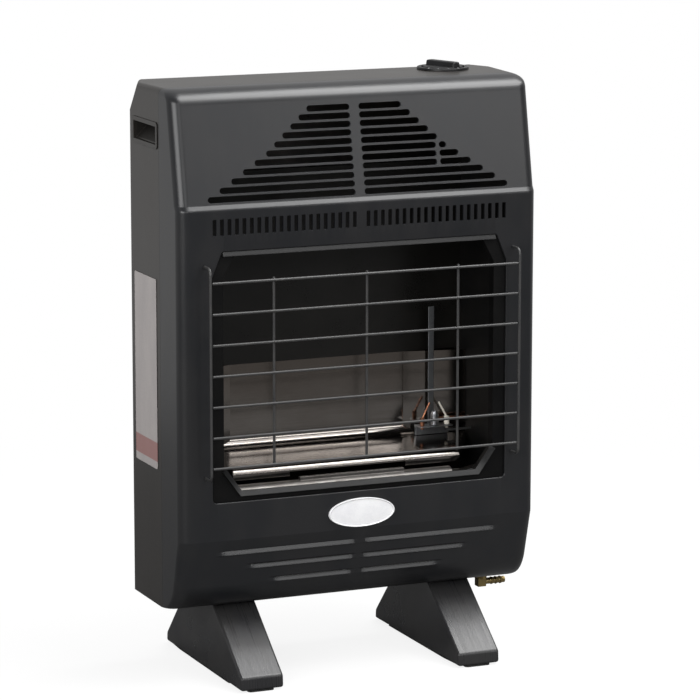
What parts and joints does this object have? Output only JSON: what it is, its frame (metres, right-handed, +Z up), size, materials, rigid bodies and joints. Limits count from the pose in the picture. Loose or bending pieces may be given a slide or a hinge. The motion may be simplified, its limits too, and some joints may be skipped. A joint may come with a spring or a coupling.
{
  "type": "portable flueless gas heater",
  "caption": "Slim floor-standing gas heater: charcoal cabinet on splayed feet, stepped louvres, wire guard over a polished reflector, turning knob on top.",
  "frame": {"origin": "on the floor, under the centre of the bounding box", "axes": "+Z up, +X to the right of someone facing the front, front towards -Y"},
  "size_m": [0.422, 0.232, 0.657],
  "materials": {
    "charcoal_enamel": "satin charcoal paint with a faint grain",
    "matt_black": "matt black heat-proof paint",
    "dark_steel": "dark heat-proof coating on steel",
    "polished_steel": "polished sheet",
    "zinc_steel": "zinc-plated steel",
    "guard_wire": "bright wire, a little dulled",
    "brass": "machined brass",
    "copper": "drawn copper",
    "black_plastic": "fine-grained moulded plastic",
    "foot_plastic": "satin moulded plastic",
    "rubber": "soft moulded rubber",
    "white_badge": "glossy moulded plastic",
    "label_plate": "thin matt sheet",
    "ceramic": "unglazed insulator"
  },
  "bodies": {
    "cabinet": {"front_fascia": "charcoal_enamel", "casing_wrap": "charcoal_enamel", "back_panel": "charcoal_enamel", "base_plate": "charcoal_enamel", "left_hand_grip": "black_plastic", "right_hand_grip": "black_plastic", "badge_plate": "white_badge", "side_label_plate": "label_plate", "firebox_bezel": "matt_black", "firebox_left_wall": "matt_black", "firebox_right_wall": "matt_black", "firebox_back": "dark_steel", "top_deflector": "dark_steel", "heat_shield": "zinc_steel", "reflector_tray": "polished_steel", "burner_tube": "dark_steel", "venturi_tube": "zinc_steel", "gas_injector": "brass", "burner_bracket_left": "zinc_steel", "burner_bracket_right": "zinc_steel", "pilot_bracket": "polished_steel", "pilot_burner": "brass", "thermocouple": "copper", "spark_electrode": "ceramic", "tap_body": "brass", "knob_bezel": "black_plastic", "tap_bracket": "zinc_steel", "piezo_igniter": "black_plastic", "inlet_pipe": "copper", "burner_pipe": "copper", "pilot_pipe": "copper", "ignition_lead": "rubber", "inlet_elbow": "brass", "inlet_nut": "brass", "wire_guard": "guard_wire", "guard_rod_left": "guard_wire", "guard_rod_right": "guard_wire", "guard_clip_left_lower": "zinc_steel", "guard_clip_left_upper": "zinc_steel", "left_foot": "foot_plastic", "left_foot_pad_front": "rubber", "left_foot_screw_front": "zinc_steel", "left_foot_pad_back": "rubber", "left_foot_screw_back": "zinc_steel", "guard_clip_right_lower": "zinc_steel", "guard_clip_right_upper": "zinc_steel", "right_foot": "foot_plastic", "right_foot_pad_front": "rubber", "right_foot_screw_front": "zinc_steel", "right_foot_pad_back": "rubber", "right_foot_screw_back": "zinc_steel", "back_screw_1": "zinc_steel", "back_screw_2": "zinc_steel", "back_screw_3": "zinc_steel", "back_screw_4": "zinc_steel", "back_screw_5": "zinc_steel", "back_screw_6": "zinc_steel"},
    "tap_cone": {"tap_plug": "brass"},
    "knob": {"control_knob": "black_plastic", "tap_spindle": "zinc_steel"}
  },
  "joints": [
    {"name": "knob_turn", "type": "hinge", "parent": "cabinet", "child": "tap_cone", "pos_m": [0.15, 0.035, 0.61], "axis": [0, 0, 1], "range_deg": [0, 180]},
    {"name": "knob_push", "type": "slide", "parent": "tap_cone", "child": "knob", "axis": [0, 0, -1], "range_m": [0, 0.004], "stiffness_N_per_m": 500, "springref_m": -0.002}
  ]
}
